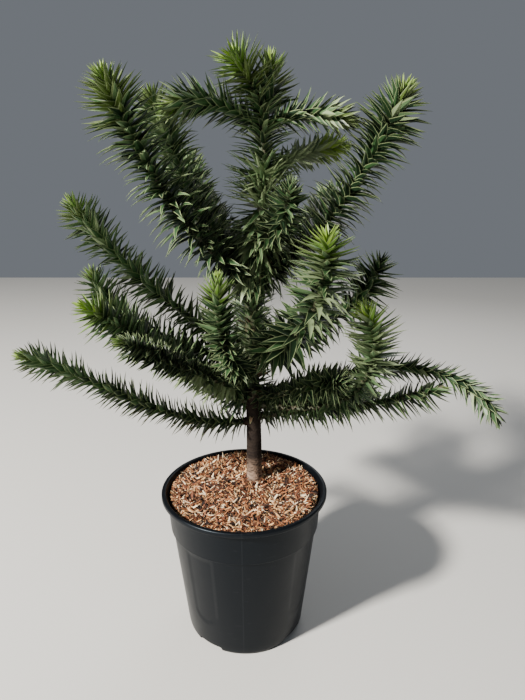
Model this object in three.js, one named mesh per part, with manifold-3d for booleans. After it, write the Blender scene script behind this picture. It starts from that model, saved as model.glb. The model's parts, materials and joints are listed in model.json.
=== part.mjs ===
// A young monkey puzzle tree in a nursery pot: one slender trunk, whorls of long shoots, and stiff
// pointed leaves set in a spiral all round every shoot. Millimetres, +Z up. The origin is the centre
// of the pot's underside. Headings are degrees from +X, turning towards +Y.
import * as THREE from 'three';
import Module from 'manifold-3d';
import { mergeVertices } from 'three/addons/utils/BufferGeometryUtils.js';

const wasm = await Module();
wasm.setup();

const clearance = 0.3;
const leafClearance = 0.25;

const pot = {
  height: 250,
  rimRadius: 135,
  rimRound: 1.5,
  lipHeight: 7.5,
  lipRadius: 127.5,
  collarRadius: 126,
  collarStepRadius: 122,
  stepHeight: 187,
  stepRise: 3,
  wallTopRadius: 118.5,
  footRadius: 98.5,
  heelRadius: 92,
  heelRound: 4,
  wall: 2.6,
  floorHeight: 10,
  footWidth: 8,
  padRadius: 30,
  padFlare: 2,
  segments: 32,
};

const notch = { count: 4, width: 46, height: 9, corner: 4, firstHeading: 55, depth: 32 };
const soil = { top: 222 };
const mulch = {
  edgeHeight: 241,
  edgeGap: 1,
  dome: 3,
  slope: 0.03,
  ripple: 1.6,
  rippleX: 9,
  rippleY: 11,
  rings: 4,
  segments: 24,
};

const trunk = {
  bottom: soil.top + clearance,
  top: 858,
  footRadius: 13.5,
  topRadius: 5.4,
  flare: 3.5,
  flareHeight: 10,
  footX: 16,
  footY: 25,
  sides: 10,
  rings: 13,
};

// The trunk sways a little to one side, then to the other, drifts forward and curls over at its tip.
const sway = {
  low: { from: 300, to: 470, x: -3 },
  high: { from: 540, to: 720, x: 18 },
  forward: { from: trunk.bottom, to: 700, y: -7 },
  curl: { from: 800, over: 60, x: -19, y: -6 },
};

const bough = { length: 38, rootRadius: 5, tipRadius: 4.5, sides: 6, rings: 2 };
const twig = { rootRadius: 5.4, tipRadius: 3.8, sides: 3, ringSpacing: 38, steps: 40 };

const leaf = {
  width: 22,
  thickness: 2.8,
  widestAt: 0.42,
  spacing: 12.5,
  firstAt: 4,
  goldenAngle: 137.5,
  spinSpread: 8,
  leanLoss: 12,
  leanSpread: 4,
  lengthSpread: 0.06,
};

// Over the last 'reach' of a shoot its leaves close up round the tip.
const closing = { reach: 34, power: 1.5, lean: 40, shortening: 0.25 };
const tuft = { leaves: 3, leafLength: 28, leafWidth: 13, lean: 17, depth: 2 };

const sleeve = {
  wall: 3.4,
  sides: 8,
  ringSpacing: 60,
  stationSpacing: 5,
  overlap: 4,
  rootDepth: 2.4,
  leafSpacing: 5.2,
  spinSpread: 7,
  leaderStemDepth: 10,
};

const seeds = { shoot: 101, shootStep: 17, trunk: 7 };

// Each shoot leaves the trunk at a height with a heading, turns by some degrees along its length,
// and rises at three angles: at its root, half way and at its tip. 'leaf' is how long its leaves are
// and how far they stand out. 'direct' shoots have no bare bough.
const shoots = {
  low_left: { height: 356, heading: 188, turn: -4, rise: [-8, 26, 16], length: 380, leaf: [36, 69] },
  low_left_front: { height: 382, heading: 205, turn: -2, rise: [37, 37, 34], length: 308, leaf: [44, 78] },
  low_front_left: { height: 408, heading: 222, turn: 0, rise: [20, 31, 28], length: 258, leaf: [32, 70] },
  low_front: { height: 398, heading: 320, turn: -10, rise: [8, 26, 10], length: 194, leaf: [36, 74] },
  low_right_front: { height: 385, heading: 333, turn: -16, rise: [2, 36, 135], length: 321, leaf: [44, 82] },
  low_right: { height: 362, heading: 345, turn: -2, rise: [13, 14, 24], length: 301, leaf: [42, 76] },
  low_right_long: { height: 408, heading: 355, turn: -16, rise: [3, 10, -67], length: 407, leaf: [32, 60] },
  low_back_right: { height: 379, heading: 38, turn: -5, rise: [-6, -8, -10], length: 280, leaf: [42, 76] },
  low_back_left: { height: 385, heading: 138, turn: -2, rise: [6, 12, 8], length: 240, leaf: [42, 76] },
  middle_left: { height: 441, heading: 172, turn: 1, rise: [27, 21, 75], length: 309, leaf: [42, 78] },
  middle_left_long: { height: 471, heading: 162, turn: 3, rise: [21, 37, 51], length: 385, leaf: [44, 80] },
  middle_front: { height: 438, heading: 244, turn: 15, rise: [16, 53, 105], length: 225, leaf: [34, 66] },
  middle_right_front: {
    height: 474, heading: 312, turn: -9, rise: [11, 48, 98], length: 269, leaf: [52, 88],
  },
  middle_right: { height: 484, heading: 17, turn: 0, rise: [11, 23, 78], length: 267, leaf: [50, 88] },
  middle_back: { height: 446, heading: 93, turn: -1, rise: [12, 20, 26], length: 225, leaf: [42, 78] },
  high_left_front: { height: 586, heading: 209, turn: 3, rise: [27, 55, 64], length: 339, leaf: [53, 87] },
  high_left: { height: 611, heading: 162, turn: 6, rise: [19, 63, 67], length: 296, leaf: [49, 84] },
  high_right: { height: 583, heading: 352, turn: 6, rise: [28, 54, 67], length: 343, leaf: [53, 87] },
  high_back_left: { height: 600, heading: 126, turn: -9, rise: [12, 37, 44], length: 310, leaf: [47, 82] },
  high_back_right: { height: 593, heading: 49, turn: 4, rise: [28, 22, 52], length: 270, leaf: [47, 82] },
  upper_front_right: {
    height: 642, heading: 297, turn: -9, rise: [21, 32, 78], length: 142, leaf: [32, 74], direct: true,
  },
  upper_back_right: {
    height: 735, heading: 34, turn: -6, rise: [35, 16, 7], length: 158, leaf: [30, 66], direct: true,
  },
  top_left: {
    height: 800, heading: 191, turn: -5, rise: [27, 15, -41], length: 145, leaf: [42, 60], direct: true,
  },
  top_right: {
    height: 803, heading: 355, turn: 0, rise: [23, 3, -26], length: 128, leaf: [36, 56], direct: true,
  },
  top_back: {
    height: 812, heading: 64, turn: -30, rise: [50, 80, 82], length: 83, leaf: [42, 64], direct: true,
  },
};

// Stretches of the trunk that carry leaves of their own, from the lowest whorl to the leader's tip.
const trunkFoliage = {
  foot: { from: 418, to: 433, leaf: [38, 70] },
  lower: { from: 489, to: 576, leaf: [40, 62] },
  upper: { from: 617, to: 727, leaf: [56, 74] },
  leader: { from: 743, to: 886, leaf: [52, 80], hasTuft: true },
};

const colours = {
  pot: { color: 0x1d1f21, roughness: 0.5 },
  soil: { color: 0x2b2119, roughness: 1 },
  mulch: { color: 0x8a5a3a, roughness: 0.95 },
  bark: { color: 0x5d4a3c, roughness: 0.9 },
  foliage: { color: 0x2f4d22, roughness: 0.55 },
};

const up = new THREE.Vector3(0, 0, 1);
const { degToRad, lerp, smoothstep, clamp } = THREE.MathUtils;

function solidOf(geometry) {
  const bare = geometry.clone();
  for (const name of ['normal', 'uv']) bare.deleteAttribute(name);
  const merged = mergeVertices(bare, 1e-4);
  return new wasm.Manifold(new wasm.Mesh({
    numProp: 3,
    vertProperties: new Float32Array(merged.attributes.position.array),
    triVerts: new Uint32Array(merged.index.array),
  }));
}

// The largest closed skin of a solid: loose scraps and the skins of sealed hollows are left out.
function mainBody(solid) {
  const bodies = solid.decompose();
  bodies.sort((a, b) => b.volume() - a.volume());
  return bodies[0];
}

function meshOf(name, solid, colour) {
  const { vertProperties, triVerts } = solid.getMesh();
  const geometry = new THREE.BufferGeometry();
  geometry.setAttribute('position', new THREE.BufferAttribute(vertProperties, 3));
  geometry.setIndex(new THREE.BufferAttribute(triVerts, 1));
  geometry.computeVertexNormals();
  const material = new THREE.MeshStandardMaterial({ ...colours[colour], metalness: 0 });
  const mesh = new THREE.Mesh(geometry, material);
  mesh.name = name;
  return mesh;
}

// Repeatable random numbers from 0 to 1, made by a linear congruential rule.
function seededRandom(seed) {
  let state = seed;
  return () => {
    state = (state * 1664525 + 1013904223) % 2 ** 32;
    return state / 2 ** 32;
  };
}

// A random number from -spread to spread.
function spreadOf(random, spread) {
  return spread * (2 * random() - 1);
}

function turned(points, segments) {
  const outline = points.map(([radius, height]) => new THREE.Vector2(radius, height));
  return solidOf(new THREE.LatheGeometry(outline, segments).rotateX(Math.PI / 2));
}

function wallRadius(height) {
  const share = (height - pot.floorHeight) / (pot.stepHeight - pot.floorHeight);
  return lerp(pot.footRadius, pot.wallTopRadius, share);
}

// The pot's outside from the pad under its middle to the rim, and its inside back down to the floor.
function potProfile() {
  const lipBottom = pot.height - pot.lipHeight;
  const floorTop = pot.floorHeight + pot.wall;
  const footInside = pot.heelRadius - pot.footWidth;
  const stepTop = pot.stepHeight + pot.stepRise;
  return [
    [0, 0],
    [pot.padRadius, 0],
    [pot.padRadius + pot.padFlare, pot.floorHeight],
    [footInside, pot.floorHeight],
    [footInside, 0],
    [pot.heelRadius, 0],
    [pot.heelRadius + pot.heelRound, pot.heelRound],
    [pot.footRadius, pot.floorHeight],
    [pot.wallTopRadius, pot.stepHeight],
    [pot.collarStepRadius, stepTop],
    [pot.collarRadius, lipBottom],
    [pot.rimRadius - pot.rimRound, lipBottom],
    [pot.rimRadius, lipBottom + pot.rimRound],
    [pot.rimRadius, pot.height - 2 * pot.rimRound],
    [pot.rimRadius - 2 * pot.rimRound, pot.height],
    [pot.lipRadius, pot.height - pot.rimRound],
    [pot.collarRadius - pot.wall, lipBottom],
    [pot.collarStepRadius - pot.wall, stepTop],
    [pot.wallTopRadius - pot.wall, pot.stepHeight],
    [wallRadius(floorTop) - pot.wall, floorTop],
    [0, floorTop],
  ];
}

// The wide drain notches between the feet, cut through the foot ring.
function drainNotches() {
  const shape = new THREE.Shape();
  const half = notch.width / 2;
  const below = -1;
  shape.moveTo(-half, below);
  shape.lineTo(half, below);
  shape.lineTo(half, notch.height - notch.corner);
  shape.quadraticCurveTo(half, notch.height, half - notch.corner, notch.height);
  shape.lineTo(notch.corner - half, notch.height);
  shape.quadraticCurveTo(-half, notch.height, -half, notch.height - notch.corner);
  shape.closePath();
  const settings = { depth: notch.depth, bevelEnabled: false, curveSegments: 2 };
  const notches = [];
  for (let i = 0; i < notch.count; i++) {
    const heading = notch.firstHeading + (360 / notch.count) * i;
    const geometry = new THREE.ExtrudeGeometry(shape, settings);
    geometry.translate(0, 0, -notch.depth / 2);
    geometry.rotateX(Math.PI / 2);
    geometry.translate(0, pot.heelRadius, 0);
    geometry.rotateZ(degToRad(heading - 90));
    notches.push(solidOf(geometry));
  }
  return wasm.Manifold.union(notches);
}

function trunkCentre(height) {
  const { low, high, forward, curl } = sway;
  const curled = (Math.max(0, height - curl.from) / curl.over) ** 2;
  const lowShare = smoothstep(height, low.from, low.to);
  const highShare = smoothstep(height, high.from, high.to);
  const forwardShare = smoothstep(height, forward.from, forward.to);
  const x = trunk.footX + low.x * lowShare + high.x * highShare + curl.x * curled;
  const y = trunk.footY + forward.y * forwardShare + curl.y * curled;
  return new THREE.Vector3(x, y, height);
}

function trunkRadius(height) {
  const share = (height - trunk.bottom) / (trunk.top - trunk.bottom);
  const flare = trunk.flare * Math.exp((trunk.bottom - height) / trunk.flareHeight);
  return lerp(trunk.footRadius, trunk.topRadius, share) + flare;
}

function trunkStation(height) {
  const along = trunkCentre(height + 1).sub(trunkCentre(height - 1)).normalize();
  const side = new THREE.Vector3(0, 1, 0).cross(along).cross(along).negate().normalize();
  return { point: trunkCentre(height), along, side };
}

// The shoot's rise in degrees at a share of its length, smooth through its three angles.
function riseAt([root, middle, tip], share) {
  const slope = 4 * middle - 3 * root - tip;
  const bend = 2 * root - 4 * middle + 2 * tip;
  return root + slope * share + bend * share * share;
}

function shootDirection(shoot, share) {
  const rise = degToRad(riseAt(shoot.rise, share));
  const heading = degToRad(shoot.heading + shoot.turn * share);
  const level = new THREE.Vector3(Math.cos(heading), Math.sin(heading), 0);
  const along = level.clone().multiplyScalar(Math.cos(rise)).addScaledVector(up, Math.sin(rise));
  return { along, side: new THREE.Vector3(-level.y, level.x, 0) };
}

// Stations along a shoot's centre line, a few millimetres apart, starting on the trunk's own.
function shootStations(shoot) {
  const step = shoot.length / twig.steps;
  const point = trunkCentre(shoot.height);
  const stations = [];
  for (let i = 0; i <= twig.steps; i++) {
    stations.push({ point: point.clone(), ...shootDirection(shoot, i / twig.steps) });
    point.addScaledVector(shootDirection(shoot, (i + 0.5) / twig.steps).along, step);
  }
  return stations;
}

function stationAlong(stations, share) {
  const place = clamp(share, 0, 1) * (stations.length - 1);
  const index = Math.min(Math.floor(place), stations.length - 2);
  const rest = place - index;
  const [a, b] = [stations[index], stations[index + 1]];
  return {
    point: a.point.clone().lerp(b.point, rest),
    along: a.along.clone().lerp(b.along, rest).normalize(),
    side: a.side.clone().lerp(b.side, rest).normalize(),
  };
}

// A cylinder bent along stations, its radius following a rule. Both take a share from 0 to 1.
function limb(stationOf, radiusOf, sides, rings) {
  const geometry = new THREE.CylinderGeometry(1, 1, 1, sides, rings);
  const position = geometry.attributes.position;
  for (let i = 0; i < position.count; i++) {
    const share = position.getY(i) + 0.5;
    const { point, along, side } = stationOf(share);
    const across = side.clone().cross(along);
    const radius = radiusOf(share);
    point.addScaledVector(side, position.getX(i) * radius);
    point.addScaledVector(across, position.getZ(i) * radius);
    position.setXYZ(i, point.x, point.y, point.z);
  }
  return solidOf(geometry);
}

function trunkLimb(from, to, extra, sides, rings) {
  return limb(
    (share) => trunkStation(lerp(from, to, share)),
    (share) => trunkRadius(lerp(from, to, share)) + extra,
    sides,
    rings,
  );
}

function boughSolid(stations, length, extra) {
  const end = (bough.length + extra) / length;
  return limb(
    (share) => stationAlong(stations, share * end),
    (share) => lerp(bough.rootRadius, bough.tipRadius, share) + extra,
    bough.sides,
    bough.rings,
  );
}

function twigSolid(stations, length, from, extra) {
  return limb(
    (share) => stationAlong(stations, lerp(from / length, 1, share)),
    (share) => lerp(twig.rootRadius, twig.tipRadius, share) + extra,
    twig.sides,
    Math.round((length - from) / twig.ringSpacing),
  );
}

// A leaf is a long blade with a low keel, made of six faces. It leans from its stem's direction
// by an angle, on the side that 'spin' gives, and its root lies at 'depth' from the stem's axis.
function leafSolid(station, { spin, lean, length, width = leaf.width, depth = 0 }) {
  const across = station.side.clone().cross(station.along);
  const outward = station.side.clone().multiplyScalar(Math.cos(spin)).addScaledVector(across, Math.sin(spin));
  const ahead = station.along.clone().multiplyScalar(Math.cos(lean)).addScaledVector(outward, Math.sin(lean));
  const wide = outward.clone().cross(station.along).normalize();
  const thick = ahead.clone().cross(wide);
  const root = station.point.clone().addScaledVector(outward, depth);
  const geometry = new THREE.SphereGeometry(1, 3, 2);
  const position = geometry.attributes.position;
  for (let i = 0; i < position.count; i++) {
    const end = Math.round(position.getY(i));
    const reach = end === 0 ? leaf.widestAt * length : Math.max(end, 0) * length;
    const point = root.clone().addScaledVector(ahead, reach);
    point.addScaledVector(wide, (position.getZ(i) * width) / Math.sqrt(3));
    point.addScaledVector(thick, (position.getX(i) * leaf.thickness) / 1.5);
    position.setXYZ(i, point.x, point.y, point.z);
  }
  return solidOf(geometry);
}

function boxesMeet(a, b, margin) {
  for (let axis = 0; axis < 3; axis++) {
    if (a.min[axis] - margin > b.max[axis] || b.min[axis] - margin > a.max[axis]) return false;
  }
  return true;
}

// What leaves keep clear of: each entry is a solid, its box and the name of the mass it belongs to.
const taken = [];

function take(owner, solid) {
  taken.push({ owner, solid, box: solid.boundingBox() });
}

function isClear(owner, solid) {
  const box = solid.boundingBox();
  for (const other of taken) {
    if (other.owner === owner) continue;
    if (!boxesMeet(box, other.box, leafClearance)) continue;
    if (solid.minGap(other.solid, 2 * leafClearance) < leafClearance) return false;
  }
  return true;
}

// A leaf that would touch another mass or a limb is left out.
function addLeaf(owner, leaves, station, size) {
  const solid = leafSolid(station, size);
  if (!isClear(owner, solid)) return;
  leaves.push(solid);
  take(owner, solid);
}

function addTuft(owner, leaves, end, start) {
  const station = { ...end, point: end.point.clone().addScaledVector(end.along, -tuft.depth) };
  for (let i = 0; i < tuft.leaves; i++) {
    addLeaf(owner, leaves, station, {
      spin: degToRad(start + (360 / tuft.leaves) * i),
      lean: degToRad(tuft.lean),
      length: tuft.leafLength,
      width: tuft.leafWidth,
    });
  }
}

// How far the leaves have closed up, from 0 to 1, at a distance from the tip.
function closedAt(tipDistance) {
  return clamp(1 - tipDistance / closing.reach, 0, 1) ** closing.power;
}

// Leaves in a spiral from 'from' to the shoot's tip, leaning forward more and more as they near it.
function leavesAlong(owner, stations, shoot, from, random) {
  const leaves = [];
  const [leafLength, leafLean] = shoot.leaf;
  const count = Math.round((shoot.length - from) / leaf.spacing);
  const first = from + leaf.firstAt;
  const start = random() * 360;
  for (let i = 0; i < count; i++) {
    const share = lerp(first, shoot.length, i / count) / shoot.length;
    const closed = closedAt(shoot.length * (1 - share));
    const lean = leafLean - leaf.leanLoss * share - closing.lean * closed;
    addLeaf(owner, leaves, stationAlong(stations, share), {
      spin: degToRad(start + leaf.goldenAngle * i + spreadOf(random, leaf.spinSpread)),
      lean: degToRad(lean + spreadOf(random, leaf.leanSpread)),
      length: leafLength * (1 - closing.shortening * closed) * (1 + spreadOf(random, leaf.lengthSpread)),
    });
  }
  addTuft(owner, leaves, stations.at(-1), start);
  return leaves;
}

const object = new THREE.Group();

function buildPot() {
  const solid = turned(potProfile(), pot.segments).subtract(drainNotches());
  object.add(meshOf('pot', solid, 'pot'));
}

// The compost fills the pot up to the mulch, just clear of the wall.
function buildCompost() {
  const gap = clearance + 0.1;
  const bottom = pot.floorHeight + pot.wall + clearance;
  const inside = (radius) => radius - pot.wall - gap;
  const stepTop = pot.stepHeight + pot.stepRise;
  const lipBottom = pot.height - pot.lipHeight;
  const share = (soil.top - stepTop) / (lipBottom - stepTop);
  const solid = turned([
    [0, bottom],
    [inside(wallRadius(bottom)), bottom],
    [inside(pot.wallTopRadius), pot.stepHeight + gap],
    [inside(pot.collarStepRadius), stepTop + gap],
    [inside(lerp(pot.collarStepRadius, pot.collarRadius, share)), soil.top],
    [0, soil.top],
  ], pot.segments);
  object.add(meshOf('compost', solid, 'soil'));
}

// Bark chips: a shallow dome, a little higher at the back, with an uneven top.
function buildMulch(trunkSpace) {
  const bottom = soil.top + clearance;
  const edge = pot.collarStepRadius - pot.wall + mulch.edgeGap;
  const points = [new THREE.Vector2(0, bottom), new THREE.Vector2(edge, bottom)];
  for (let i = 0; i <= mulch.rings; i++) {
    points.push(new THREE.Vector2(edge * (1 - i / mulch.rings), mulch.edgeHeight));
  }
  const geometry = new THREE.LatheGeometry(points, mulch.segments).rotateX(Math.PI / 2);
  const position = geometry.attributes.position;
  for (let i = 0; i < position.count; i++) {
    if (position.getZ(i) < mulch.edgeHeight - 1) continue;
    const [x, y] = [position.getX(i), position.getY(i)];
    const dome = mulch.dome * (1 - (x * x + y * y) / (edge * edge));
    const ripple = mulch.ripple * Math.sin(x / mulch.rippleX) * Math.cos(y / mulch.rippleY);
    position.setZ(i, mulch.edgeHeight + dome + ripple + mulch.slope * y);
  }
  object.add(meshOf('bark_mulch', solidOf(geometry).subtract(trunkSpace), 'mulch'));
}

// A shoot's bare bough and leafy stem. The stem starts just past the bough's tip, or at the trunk.
function buildStem(name, shoot, trunkSpace) {
  const stations = shootStations(shoot);
  if (shoot.direct) {
    const stem = mainBody(twigSolid(stations, shoot.length, 0, 0).subtract(trunkSpace));
    take(name, stem);
    return { name, shoot, stations, stem, from: trunkRadius(shoot.height) + twig.rootRadius };
  }
  const solid = boughSolid(stations, shoot.length, 0).subtract(trunkSpace);
  object.add(meshOf(`bough_${name}`, solid, 'bark'));
  take(`bough_${name}`, solid);
  const from = bough.length + clearance;
  const stem = twigSolid(stations, shoot.length, from, 0);
  take(name, stem);
  return { name, shoot, stations, stem, from };
}

// The room that the trunk and the shoots need inside the leafy sheath. A three-sided stem's faces
// move out by only half of what its corners do.
function limbSpace(trunkSpace, masses) {
  const spaces = masses.map(({ shoot, stations }) => (
    shoot.direct
      ? twigSolid(stations, shoot.length, 0, 4 * clearance)
      : boughSolid(stations, shoot.length, 2 * clearance)
  ));
  return wasm.Manifold.union([trunkSpace, ...spaces]);
}

// Leaf bases sheathe the trunk between the whorls, with the trunk's own leaves growing from them.
function buildTrunkFoliage(name, { from, to, leaf: [leafLength, leafLean], hasTuft }, space, random) {
  const owner = `trunk_${name}`;
  const count = Math.ceil((to - from) / sleeve.stationSpacing);
  const stations = [];
  for (let i = 0; i <= count; i++) stations.push(trunkStation(lerp(from, to, i / count)));
  const rings = Math.round((to - from) / sleeve.ringSpacing);
  const sheathTop = Math.min(to, trunk.top + sleeve.overlap);
  const pieces = [trunkLimb(from, sheathTop, sleeve.wall, sleeve.sides, Math.max(1, rings))];
  if (hasTuft) {
    const stationOf = (share) => trunkStation(lerp(trunk.top - sleeve.leaderStemDepth, to, share));
    pieces.push(limb(stationOf, () => twig.rootRadius, twig.sides, 2));
  }
  take(owner, wasm.Manifold.union(pieces).subtract(space));
  const start = random() * 360;
  const leafCount = Math.round((to - from) / sleeve.leafSpacing);
  for (let i = 0; i < leafCount; i++) {
    const share = (i + 0.5) / leafCount;
    const closed = hasTuft ? closedAt((to - from) * (1 - share)) : 0;
    const station = stationAlong(stations, share);
    const height = station.point.z;
    addLeaf(owner, pieces, station, {
      spin: degToRad(start + leaf.goldenAngle * i + spreadOf(random, sleeve.spinSpread)),
      lean: degToRad(leafLean - closing.lean * closed + spreadOf(random, leaf.leanSpread)),
      length: leafLength * (1 - closing.shortening * closed),
      depth: height < trunk.top ? trunkRadius(height) + sleeve.wall - sleeve.rootDepth : 0,
    });
  }
  if (hasTuft) addTuft(owner, pieces, stations.at(-1), start);
  const solid = mainBody(wasm.Manifold.union(pieces).subtract(space));
  object.add(meshOf(`foliage_${owner}`, solid, 'foliage'));
}

function buildPlant(trunkSpace) {
  const solid = trunkLimb(trunk.bottom, trunk.top, 0, trunk.sides, trunk.rings);
  object.add(meshOf('trunk', solid, 'bark'));
  take('trunk', solid);
  const masses = Object.entries(shoots).map(([name, shoot]) => buildStem(name, shoot, trunkSpace));
  const space = limbSpace(trunkSpace, masses);
  Object.entries(trunkFoliage).forEach(([name, stretch], index) => {
    buildTrunkFoliage(name, stretch, space, seededRandom(seeds.trunk + index));
  });
  masses.forEach(({ name, shoot, stations, stem, from }, index) => {
    const random = seededRandom(seeds.shoot + seeds.shootStep * index);
    const leaves = leavesAlong(name, stations, shoot, from, random);
    const mass = mainBody(wasm.Manifold.union([stem, ...leaves]));
    object.add(meshOf(`foliage_${name}`, mass, 'foliage'));
  });
}

const trunkSpace = trunkLimb(trunk.bottom - 2, trunk.top + clearance, clearance, trunk.sides, trunk.rings);
buildPot();
buildCompost();
buildMulch(trunkSpace);
buildPlant(trunkSpace);

export default object;
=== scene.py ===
# The looks of a young monkey puzzle tree in a black nursery pot. The dictionaries hold
# millimetres and degrees, as on a drawing, and every mesh is made in metres.
import json
import math

import bmesh
import bpy
import numpy as np
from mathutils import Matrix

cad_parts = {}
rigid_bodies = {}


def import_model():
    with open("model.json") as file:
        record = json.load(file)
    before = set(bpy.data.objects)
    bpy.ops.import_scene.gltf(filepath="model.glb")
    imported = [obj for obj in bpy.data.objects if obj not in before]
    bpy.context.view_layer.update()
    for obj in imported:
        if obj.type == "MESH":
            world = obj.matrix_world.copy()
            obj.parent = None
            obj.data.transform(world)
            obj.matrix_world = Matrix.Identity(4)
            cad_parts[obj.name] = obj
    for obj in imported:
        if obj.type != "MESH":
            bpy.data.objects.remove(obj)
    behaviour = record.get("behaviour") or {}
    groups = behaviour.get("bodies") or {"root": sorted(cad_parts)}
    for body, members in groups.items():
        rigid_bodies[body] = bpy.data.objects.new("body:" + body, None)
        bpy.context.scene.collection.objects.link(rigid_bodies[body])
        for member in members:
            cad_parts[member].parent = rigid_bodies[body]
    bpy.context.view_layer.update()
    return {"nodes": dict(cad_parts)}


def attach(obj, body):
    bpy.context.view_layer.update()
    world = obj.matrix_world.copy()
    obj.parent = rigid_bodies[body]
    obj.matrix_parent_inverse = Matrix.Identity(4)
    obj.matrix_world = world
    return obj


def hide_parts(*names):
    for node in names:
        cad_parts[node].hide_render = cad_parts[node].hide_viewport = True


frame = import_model()
nodes = frame["nodes"]
mm = 0.001
degree = math.radians(1)
print("frame loaded:", len(nodes), "nodes")


def lerp(a, b, share):
    return a + (b - a) * share


def smoothstep(value, low, high):
    share = np.clip((np.asarray(value, float) - low) / (high - low), 0, 1)
    return share * share * (3 - 2 * share)


def ringAngles(sides):
    return np.arange(sides) * 2 * np.pi / sides


def addObject(name, data):
    made = bpy.data.objects.new(name, data)
    bpy.context.scene.collection.objects.link(made)
    return made


# A mesh of one material, or with the number of its material for each face.
def makeMesh(name, points, faces, materials, slots):
    mesh = bpy.data.meshes.new(name)
    mesh.from_pydata(points, [], faces)
    for material in materials:
        mesh.materials.append(material)
    if slots is not None:
        mesh.polygons.foreach_set("material_index", slots)
    return mesh


# An object from points in millimetres.
def makePiece(name, points, faces, materials, slots=None, smooth=True):
    mesh = makeMesh(name, (np.asarray(points, float) * mm).tolist(), faces, materials, slots)
    mesh.polygons.foreach_set("use_smooth", [smooth] * len(mesh.polygons))
    mesh.update()
    return addObject(name, mesh)


# What an object's modifiers make of it, as a plain mesh.
def finishedMesh(thing):
    graph = bpy.context.evaluated_depsgraph_get()
    return bpy.data.meshes.new_from_object(thing.evaluated_get(graph), preserve_all_data_layers=True,
                                           depsgraph=graph)


def announce(piece):
    mesh = piece.data
    print("  piece", piece.name, "triangles", len(mesh.loops) - 2 * len(mesh.polygons))


def recalculate(mesh):
    work = bmesh.new()
    work.from_mesh(mesh)
    bmesh.ops.remove_doubles(work, verts=work.verts, dist=1e-6)
    bmesh.ops.recalc_face_normals(work, faces=work.faces)
    work.to_mesh(mesh)
    work.free()


# A grid of points whose rows are closed rings, as quads. Ends are capped with one face each.
def ringFaces(rows, sides, closedEnds=True):
    faces = []
    for row in range(rows - 1):
        for i in range(sides):
            j = (i + 1) % sides
            faces.append((row * sides + i, row * sides + j, (row + 1) * sides + j, (row + 1) * sides + i))
    if closedEnds:
        faces.append(tuple(range(sides - 1, -1, -1)))
        faces.append(tuple((rows - 1) * sides + i for i in range(sides)))
    return faces


# The faces of rings that end in a point, the last one of all, over a flat bottom.
def domeFaces(rows, sides):
    last = (rows - 1) * sides
    faces = ringFaces(rows, sides, closedEnds=False)
    faces += [(last + i, last + (i + 1) % sides, last + sides) for i in range(sides)]
    return [*faces, tuple(range(sides - 1, -1, -1))]


# Nodes

# What comes out of a node. A sum on it adds a Math node to its tree, or a Vector Math node.
class Flow:
    def __init__(self, socket):
        self.socket = socket
        self.tree = socket.id_data
        self.isVector = socket.type == "VECTOR"

    def calc(self, operation, *others, inputs=None):
        kind = "ShaderNodeVectorMath" if self.isVector else "ShaderNodeMath"
        return flowFrom(self.tree, kind, inputs or (self, *others), operation=operation)

    def __add__(self, other):
        return self.calc("ADD", other)

    def __sub__(self, other):
        return self.calc("SUBTRACT", other)

    def __rsub__(self, other):
        return self.calc("SUBTRACT", inputs=(other, self))

    def __mul__(self, other):
        if self.isVector:
            return self.calc("SCALE", inputs={"Vector": self, "Scale": other})
        return self.calc("MULTIPLY", other)

    def __truediv__(self, other):
        return self.calc("DIVIDE", other)

    def __lt__(self, other):
        return self.calc("LESS_THAN", other)

    def __gt__(self, other):
        return self.calc("GREATER_THAN", other)


# Of the sockets that the node's settings leave in use, the first, or the first of that name.
def socketOf(sockets, name=None):
    return next(s for s in sockets if s.enabled and name in (None, s.name))


# Gives a socket a plain value, or joins it to what comes out of another node.
def feed(target, source):
    if isinstance(source, Flow):
        target.id_data.links.new(source.socket, target)
    elif source is not None:
        target.default_value = source


# Adds a node. What goes in is named, or given in the order of its sockets.
def addNode(tree, kind, inputs=(), **settings):
    node = tree.nodes.new(kind)
    for key, value in settings.items():
        setattr(node, key, value)
    if isinstance(inputs, dict):
        for name, source in inputs.items():
            feed(socketOf(node.inputs, name), source)
    else:
        for target, source in zip(node.inputs, inputs):
            feed(target, source)
    return node


def flowFrom(tree, kind, inputs=(), output=None, **settings):
    return Flow(socketOf(addNode(tree, kind, inputs, **settings).outputs, output))


socketKinds = {int: "Int", float: "Float", tuple: "Vector"}


# A tree with named inputs, each with a default value or the name of its kind, and one output.
def newTree(name, kind, inputs, output, outputKind):
    tree = bpy.data.node_groups.new(name, kind)
    for label, value in inputs.items():
        isKind = isinstance(value, str)
        socketKind = value if isKind else socketKinds[type(value)]
        socket = tree.interface.new_socket(label, in_out="INPUT", socket_type=f"NodeSocket{socketKind}")
        if not isKind:
            socket.default_value = value
    tree.interface.new_socket(output, in_out="OUTPUT", socket_type=f"NodeSocket{outputKind}")
    given = {socket.name: Flow(socket) for socket in addNode(tree, "NodeGroupInput").outputs}
    return tree, given, addNode(tree, "NodeGroupOutput").inputs[0]


def mixColour(share, a, b):
    a, b = (colour if isinstance(colour, Flow) else (*colour, 1) for colour in (a, b))
    return flowFrom(share.tree, "ShaderNodeMix", {"Factor": share, "A": a, "B": b}, data_type="RGBA")


def rangeOf(value, low, high, to=(0, 1)):
    inputs = {"Value": value, "From Min": low, "From Max": high, "To Min": to[0], "To Max": to[1]}
    return flowFrom(value.tree, "ShaderNodeMapRange", inputs)


def partOf(vector, axis):
    return flowFrom(vector.tree, "ShaderNodeSeparateXYZ", (vector,), axis)


def objectPlace(tree):
    return flowFrom(tree, "ShaderNodeTexCoord", output="Object")


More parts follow.
